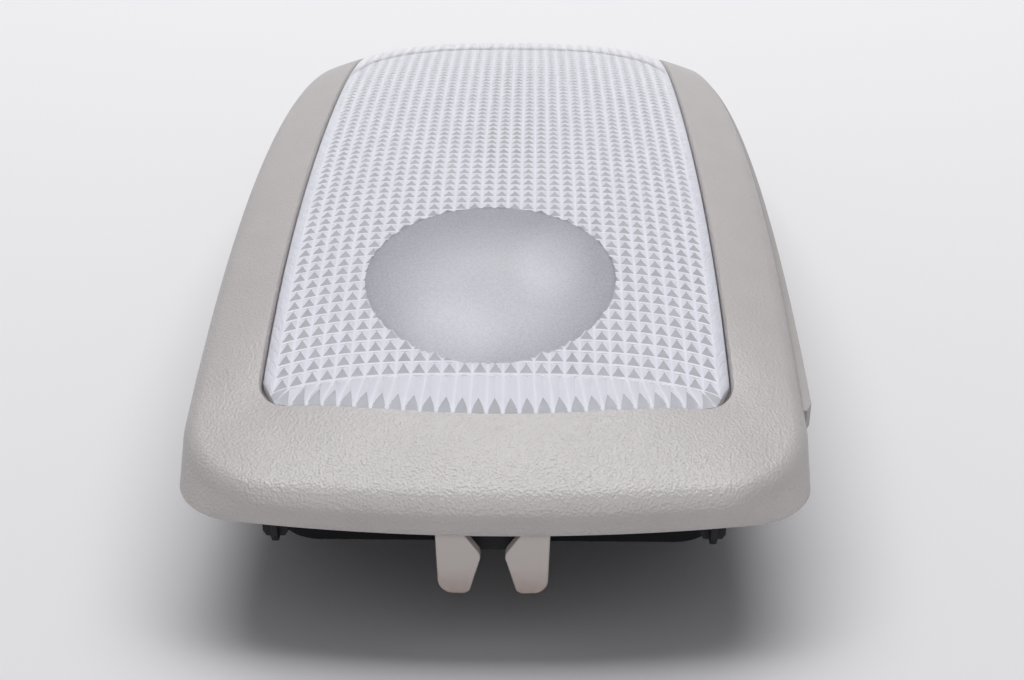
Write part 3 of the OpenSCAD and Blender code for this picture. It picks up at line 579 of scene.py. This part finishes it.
# %% [markdown]
# The section starts at the ledge that carries the lens, goes up to the lip,
# over the top, round the roll and down the wall, and comes back inside. The
# top leaves the lip nearly in line with the crown, so that light runs on
# over the joint, and falls faster towards the ridge.

# %% The bezel section
WALL = 2.2
ROLL = 2.6  # width of the roll between top and wall
LEDGE_IN, LEDGE_DEEP = 1.2, 2.2  # reach and height of the ledge
LEDGE_GAP = 0.3  # between ledge and lens
FLAT = 1.2  # where the even part of the top starts


def bezel_section(k):
    """Points of the section at station k, from the ledge round to the ledge again."""
    (ox, oy), (rx, ry), (px, py) = opening_path[k], ridge_path[k], seat_path[k]
    w = math.hypot(rx - ox, ry - oy)
    ux, uy = (rx - ox) / w, (ry - oy) / w
    zi, zr = crown(ox, oy), ridge_height(ry)
    across, along = crown_slope(ox, oy)
    s0 = min(ux * across + uy * along, 0.85 * (zi - zr) / w)
    ledge = zi - THICK - LEDGE_GAP

    def top(v):
        return zi - s0 * v - (zi - zr - s0 * w) * (v / w) ** 2

    def at(v, z):
        return ox + ux * v, oy + uy * v, z

    pts = [at(-LEDGE_IN, ledge - LEDGE_DEEP), at(-LEDGE_IN, ledge), at(0, ledge), at(0, zi - 0.95)]
    pts += [at(0.07, zi - 0.6), at(0.22, zi - 0.36), at(0.45, (top(0.45) + zi - 0.2) / 2)]
    pts.append(at(0.8, top(0.8) - 0.02))
    pts += [at(v, top(v)) for v in [FLAT + (w - ROLL - FLAT) * i / 9 for i in range(10)]]
    a, b, e = (w - ROLL, top(w - ROLL)), (w - 0.1, zr + 0.25), (w + 0.8, zr - 2.4)
    for i in range(1, 9):
        t = i / 8
        pts.append(at(a[0] * (1 - t) ** 2 + 2 * b[0] * t * (1 - t) + e[0] * t * t,
                      a[1] * (1 - t) ** 2 + 2 * b[1] * t * (1 - t) + e[1] * t * t))
    x, y, z = pts[-1]
    for f in (0.25, 0.5, 0.75):
        pts.append((x + (px - x) * f, y + (py - y) * f, z + (SEAT + 0.5 - z) * f))
    pts += [(px, py, SEAT + 0.5), (px - 0.08 * ux, py - 0.08 * uy, SEAT + 0.2),
            (px - 0.4 * ux, py - 0.4 * uy, SEAT), (px - WALL * ux, py - WALL * uy, SEAT),
            at(w - 1.4, zr - 3.4), at(w - 4.2, top(w - 4.2) - 1.15 * WALL),
            at(0.5 * w, top(0.5 * w) - 1.1 * WALL), at(1.8, top(1.8) - 1.1 * WALL),
            at(1.8, ledge - LEDGE_DEEP)]
    return pts


print("points in a section:", len(bezel_section(0)))

# %% [markdown]
# Each section is joined to the next, and the last one to the first. A sweep
# along a curve would be shorter to write, but it keeps one section all the
# way. This moulding becomes one closed ring without a seam.

# %% The bezel shell
sections = [bezel_section(k) for k in range(len(seat_path))]
size = len(sections[0])
bezel_points = [p for s in sections for p in s]
bezel_faces = []
for k in range(len(sections)):
    n = (k + 1) % len(sections)
    for q in range(size):
        r = (q + 1) % size
        bezel_faces.append([k * size + q, k * size + r, n * size + r, n * size + q])
bezel = mesh_object("bezel_shell", bezel_points, bezel_faces)
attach(bezel, "lamp")
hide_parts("bezel")

# %% [markdown]
# ## Prongs
# Two pairs of prongs snap into the roof, and the near pair shows under the
# bezel: flat plates with rounded tips and a pinched waist. An outline is
# drawn, given thickness, and softened with a small bevel. That is quicker
# than shaping a box, and the arcs keep their true radii.

# %% Prongs
def arc(cx, cz, r, a0, a1, n=8):
    return [(cx + r * math.cos(math.radians(a0 + (a1 - a0) * i / n)),
             cz + r * math.sin(math.radians(a0 + (a1 - a0) * i / n))) for i in range(n + 1)]


def plate(name, path, y0, y1):
    """A flat plate with the outline path in x and z, from y0 to y1."""
    n = len(path)
    pts = [(x, y0, z) for x, z in path] + [(x, y1, z) for x, z in path]
    faces = [list(range(n)), list(range(2 * n - 1, n - 1, -1))]
    faces += [[i, n + i, n + (i + 1) % n, (i + 1) % n] for i in range(n)]
    obj = mesh_object(name, pts, faces, crisp=40)
    mod = obj.modifiers.new("soft_edges", "BEVEL")
    mod.width = 0.25 * MM
    mod.segments = 3
    mod.limit_method = "ANGLE"
    mod.angle_limit = math.radians(40)
    return obj


PRONG_OUT, PRONG_IN = 115.8, 113.8  # outer and inner face
WAIST = arc(3.85, 14.42, 1.9, 145, 205)
TIP = arc(4.9, 9.2, 1.6, 218, 270) + arc(6.2, 10.1, 2.5, 285, 356)
prong_outline = [(4.85, 24.6), (4.25, 18.4)] + WAIST + TIP + [(9, 20), (9, 24.6)]
prongs = []
for side, sy in (("near", -1), ("far", 1)):
    for hand, sx in (("left", -1), ("right", 1)):
        path = [(sx * x, z) for x, z in prong_outline]
        prongs.append(plate("prong_%s_%s" % (side, hand), path, sy * PRONG_OUT, sy * PRONG_IN))
        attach(prongs[-1], "lamp")

# %% [markdown]
# ## Slot for the switch bar
# The bar rocks in a long arched slot in the right-hand wall. The loft could
# leave a gap there, but then every station beside it would need a section of
# its own. So the slot is cut out of the finished wall, as a milling cutter
# would do it.

# %% Slot
SLOT_GAP = 0.45  # clearance round the bar
BAR_HALF = 92
BAR_DROP, BAR_HEIGHT = 4, 4.5  # its top under the ridge, and its height
ARCH_HALF = 90
ARCH_TOP, ARCH_BOTTOM = 9.6, 9.2  # fall of its two edges over that length


def slot_block(name, x0, x1, steps=48):
    """A long arched block a little larger than the bar, from x0 to x1."""
    half = BAR_HALF + SLOT_GAP
    high = ridge_height(0) - BAR_DROP + SLOT_GAP
    low = ridge_height(0) - BAR_DROP - BAR_HEIGHT - SLOT_GAP
    ys = [half * (2 * i / steps - 1) for i in range(steps + 1)]
    path = [(y, low - ARCH_BOTTOM * (y / ARCH_HALF) ** 2) for y in ys]
    path += [(y, high - ARCH_TOP * (y / ARCH_HALF) ** 2) for y in reversed(ys)]
    n = len(path)
    pts = [(x0, y, z) for y, z in path] + [(x1, y, z) for y, z in path]
    faces = [[i, i + 1, n - 2 - i, n - 1 - i][::-1] for i in range(steps)]
    faces += [[n + i, n + i + 1, 2 * n - 2 - i, 2 * n - 1 - i] for i in range(steps)]
    faces += [[i, (i + 1) % n, n + (i + 1) % n, n + i] for i in range(n)]
    return mesh_object(name, pts, faces)


combine(bezel, slot_block("slot_cutter", 46, 60.2), "DIFFERENCE", 35)

# %% [markdown]
# ## Pattern helpers
# Noise does three jobs on the finishes: it moves the colour a little, it
# raises the surface, and it breaks up edges. Its size is given in
# millimetres and it is tied to the object, so it moves with the bar.

# %% Pattern helpers
def noise(tree, size, detail=3.0):
    spot = node(tree, "ShaderNodeTexCoord")
    made = node(tree, "ShaderNodeTexNoise", {"Scale": 1 / (size * MM), "Detail": detail})
    wire(tree, (spot.outputs["Object"], made.inputs["Vector"]))
    return made.outputs["Fac"]


def tint(tree, shader, fac, dark, light):
    mix = node(tree, "ShaderNodeMix", {6: (*dark, 1), 7: (*light, 1)}, data_type="RGBA")
    wire(tree, (fac, mix.inputs[0]), (mix.outputs[2], shader.inputs["Base Color"]))


def bump(tree, shader, height, depth, strength):
    made = node(tree, "ShaderNodeBump", {"Strength": strength, "Distance": depth * MM})
    wire(tree, (height, made.inputs["Height"]), (made.outputs["Normal"], shader.inputs["Normal"]))


def shades(colour, amount):
    darker = tuple(c * (1 - amount) for c in colour)
    lighter = tuple(min(1, c * (1 + amount)) for c in colour)
    return darker, lighter


print("two shades round a middle grey:", shades((0.5, 0.5, 0.5), 0.1))

# %% [markdown]
# ## Grained plastic
# The bezel is a warm grey plastic with a leather grain, which the mould
# carries. Rounded cells about 0.4 mm wide, mixed with noise, drive a bump:
# the colour stays nearly even and the light makes the grain. Real grooves
# would need millions of faces.

# %% Grained plastic
def grained(name, colour, rough, cell, depth, strength, gloss=0.75):
    material, tree, shader = new_material(name, colour, rough)
    spot = node(tree, "ShaderNodeTexCoord")
    cells = node(tree, "ShaderNodeTexVoronoi", {"Scale": 1 / (cell * MM), "Randomness": 1.0},
                 feature="SMOOTH_F1")
    both = node(tree, "ShaderNodeMix", {"Factor": 0.4}, data_type="FLOAT")
    wire(tree,
         (spot.outputs["Object"], cells.inputs["Vector"]),
         (cells.outputs["Distance"], both.inputs[2]),
         (noise(tree, cell * 1.7), both.inputs[3]))
    shader.inputs["Specular IOR Level"].default_value = gloss
    bump(tree, shader, both.outputs[0], depth, strength)
    tint(tree, shader, noise(tree, 9), *shades(colour, 0.07))
    return material


grey_grain = grained("grained_grey", (0.382, 0.357, 0.352),
                     rough=0.42, cell=0.38, depth=0.2, strength=1.0)
grey_bar = grained("bar_grey", (0.27, 0.252, 0.245),
                   rough=0.45, cell=0.5, depth=0.15, strength=0.6)
dark_satin = grained("dark_housing", (0.016, 0.016, 0.018),
                     rough=0.5, cell=0.25, depth=0.03, strength=0.3, gloss=0.2)

# %% [markdown]
# The prongs are paler, and their tips are rubbed brown where they snap into
# the roof. Height along the prong picks the colour, and noise breaks the edge
# of the rubbed patch.

# %% Rubbed prongs
PRONG_GREY, RUBBED = (0.455, 0.415, 0.4), (0.3, 0.21, 0.17)
RUB_FULL, RUB_END = 0.0078, 0.0125  # heights between which the brown fades
prong_rubbed, rub_tree, rub_shader = new_material("rubbed_prong", PRONG_GREY, 0.45)
rub_spot = node(rub_tree, "ShaderNodeTexCoord")
rub_height = node(rub_tree, "ShaderNodeSeparateXYZ")
rub_edge = node(rub_tree, "ShaderNodeMapRange", {1: RUB_FULL, 2: RUB_END, 3: 1.0, 4: 0.0})
rub_break = node(rub_tree, "ShaderNodeMath", operation="MULTIPLY")
wire(rub_tree,
     (rub_spot.outputs["Object"], rub_height.inputs[0]),
     (rub_height.outputs[2], rub_edge.inputs[0]),
     (rub_edge.outputs[0], rub_break.inputs[0]),
     (noise(rub_tree, 1.6), rub_break.inputs[1]))
tint(rub_tree, rub_shader, rub_break.outputs[0], PRONG_GREY, RUBBED)
bump(rub_tree, rub_shader, noise(rub_tree, 0.5), 0.05, 0.4)

# %% [markdown]
# ## Clear plastic
# The lens is clear with the faintest lilac cast, and its top is smooth. The
# facets keep the fine tool marks of the mould, so they blur what lies behind
# and let about half of the light through. The lands are matt and nearly
# opaque. Real transmission is used, because what shows through matters.

# %% Clear plastic
def clear(name, colour, rough, passes=1.0, index=1.49):
    material, tree, shader = new_material(name, colour, rough)
    shader.inputs["Transmission Weight"].default_value = passes
    shader.inputs["IOR"].default_value = index
    return material, tree, shader


lens_clear, clear_tree, clear_shader = clear("clear_lens", (0.97, 0.975, 1.0), 0.03)
bump(clear_tree, clear_shader, noise(clear_tree, 14, 1.0), 0.05, 0.15)
lens_facets, facet_tree, facet_shader = clear("recess_facets", (0.97, 0.975, 1.0), 0.2, passes=0.5)
bump(facet_tree, facet_shader, noise(facet_tree, 0.8), 0.01, 0.2)
lens_lands, land_tree, land_shader = clear("recess_lands", (0.93, 0.93, 0.96), 0.3, passes=0.08)
bump(land_tree, land_shader, noise(land_tree, 0.8), 0.01, 0.2)
bulb_clear, bulb_tree, bulb_shader = clear("bulb_glass", (0.98, 0.98, 0.98), 0.0, index=1.5)
bump(bulb_tree, bulb_shader, noise(bulb_tree, 5, 1.0), 0.1, 0.1)

# %% [markdown]
# ## Frosted plastic
# A sandy grain on the disc's domed underside scatters the light. The bowl
# under it sends back a broad glow and two brighter patches. Light traced
# through frost takes many samples to settle, so that glow is painted: three
# soft oval spots of painted light lighten the plastic, and the rim they leave
# darker is painted shade.

# %% Frosted plastic
lens_frost, frost_tree, frost_shader = clear("frosted_disc", (0.6, 0.6, 0.63), 0.42, passes=0.25)


def painted_glow_patch(u, v, wide, long, level):
    """A soft spot of painted glow on the disc, placed and sized in shares of its radius."""
    middle = ((DISC_X + u * DISC_R) * MM, (DISC_Y + v * DISC_R) * MM, 0)
    spot = node(frost_tree, "ShaderNodeTexCoord")
    place = node(frost_tree, "ShaderNodeMapping", vector_type="TEXTURE")
    place.inputs["Location"].default_value = middle
    place.inputs["Scale"].default_value = (wide * DISC_R * MM, long * DISC_R * MM, 10)
    ball = node(frost_tree, "ShaderNodeTexGradient", gradient_type="SPHERICAL")
    spread = node(frost_tree, "ShaderNodeMapRange", {2: 0.7, 3: 0.0, 4: level},
                  interpolation_type="SMOOTHSTEP")
    wire(frost_tree,
         (spot.outputs["Object"], place.inputs[0]),
         (place.outputs[0], ball.inputs[0]),
         (ball.outputs["Fac"], spread.inputs[0]))
    return spread.outputs[0]


# Painted light: the bowl's broad glow, then two painted highlights on top of it.
painted_glow_sum = painted_glow_patch(-0.02, -0.2, 1.05, 1.15, 0.5)
for patch in ((0.48, 0.25, 0.4, 0.65, 0.2), (-0.3, -0.65, 0.55, 0.6, 0.17)):
    painted_glow_add = node(frost_tree, "ShaderNodeMath", operation="ADD")
    wire(frost_tree, (painted_glow_sum, painted_glow_add.inputs[0]), (painted_glow_patch(*patch), painted_glow_add.inputs[1]))
    painted_glow_sum = painted_glow_add.outputs[0]
sand_and_painted_glow = node(frost_tree, "ShaderNodeMath", {1: 0.45}, operation="MULTIPLY_ADD")
wire(frost_tree, (noise(frost_tree, 0.4, 1.0), sand_and_painted_glow.inputs[0]), (painted_glow_sum, sand_and_painted_glow.inputs[2]))
# The colour runs from a dark rim, which is painted shade, to a pale middle, which is painted glow.
tint(frost_tree, frost_shader, sand_and_painted_glow.outputs[0], (0.34, 0.338, 0.384), (0.985, 0.985, 1.0))
bump(frost_tree, frost_shader, noise(frost_tree, 0.35), 0.03, 0.6)
print("frost nodes:", len(frost_tree.nodes))

# %% [markdown]
# ## Inside finishes
# The tray and the plate round the bowl are glossy white. Only the bowl is
# metallised, so distance from the bowl's axis switches the metal on. The
# brass and the plated parts have a thin tarnish: noise moves both their
# colour and their roughness.

# %% Inside finishes
BOWL_REACH = 0.0192  # metallised up to this distance from the axis


def worn(name, colour, rough, metal, size, amount):
    material, tree, shader = new_material(name, colour, rough, metal)
    patches = noise(tree, size)
    tint(tree, shader, patches, *shades(colour, amount))
    spread = node(tree, "ShaderNodeMapRange", {3: rough * 0.7, 4: rough * 1.3})
    wire(tree, (patches, spread.inputs[0]), (spread.outputs[0], shader.inputs["Roughness"]))
    bump(tree, shader, noise(tree, 0.4), 0.01, 0.3)
    return material, tree, shader


tray_white, _, _ = worn("tray_white", (0.9, 0.9, 0.91), 0.45, 0.0, size=12, amount=0.02)
brass_strip, _, _ = worn("brass_strip", (0.72, 0.53, 0.25), 0.3, 1.0, size=3, amount=0.15)
steel_plated, _, _ = worn("plated_steel", (0.62, 0.62, 0.63), 0.25, 1.0, size=3, amount=0.08)
bowl_bright, bowl_tree, bowl_shader = worn("bowl_and_plate", (0.9, 0.9, 0.91), 0.3, 1.0, size=10,
                                           amount=0.02)
bowl_spot = node(bowl_tree, "ShaderNodeTexCoord")
bowl_flat = node(bowl_tree, "ShaderNodeVectorMath", {1: (1, 1, 0)}, operation="MULTIPLY")
bowl_axis = (DISC_X * MM, DISC_Y * MM, 0)
bowl_far = node(bowl_tree, "ShaderNodeVectorMath", {1: bowl_axis}, operation="DISTANCE")
bowl_inside = node(bowl_tree, "ShaderNodeMath", {1: BOWL_REACH}, operation="LESS_THAN")
wire(bowl_tree,
     (bowl_spot.outputs["Object"], bowl_flat.inputs[0]),
     (bowl_flat.outputs[0], bowl_far.inputs[0]),
     (bowl_far.outputs["Value"], bowl_inside.inputs[0]),
     (bowl_inside.outputs[0], bowl_shader.inputs["Metallic"]))

# %% [markdown]
# ## Put the finishes on
# The CAD pieces keep their shape and place, and only get a material. Here the
# sheen and the front lamp are also tied to the grey parts: light linking
# names the objects that a lamp may light.

# %% Put the finishes on
def dress(node_names, material):
    for name in node_names:
        mesh = nodes[name].data
        mesh.materials.clear()
        mesh.materials.append(material)
    print(material.name, "on", len(node_names))


dress(["back_housing", "wedge_bulb_holder"], dark_satin)
dress(["main_reflector"], tray_white)
dress(["spot_reflector"], bowl_bright)
dress(["festoon_glass", "wedge_bulb_glass"], bulb_clear)
dress(["festoon_clip_supply", "festoon_clip_return", "busbar_supply", "busbar_ground",
       "strip_main_return", "strip_spot_return", "bar_contacts"], brass_strip)
dress(["festoon_caps", "festoon_filament", "wedge_bulb_filament", "pivot_washer", "detent_spring",
       "housing_screws"], steel_plated)
dress(["switch_bar"], grey_bar)
bezel.data.materials.clear()
bezel.data.materials.append(grey_grain)
for prong in prongs:
    prong.data.materials.append(prong_rubbed)
lens.data.materials[CLEAR] = lens_clear
lens.data.materials[FROST] = lens_frost
lens.data.materials[FACETS] = lens_facets
lens.data.materials[LANDS] = lens_lands
grey_parts = bpy.data.collections.new("grey_parts")
for part in [bezel, nodes["switch_bar"], nodes["back_housing"]] + prongs:
    grey_parts.objects.link(part)
for lamp in (sheen, front):
    lamp.light_linking.receiver_collection = grey_parts
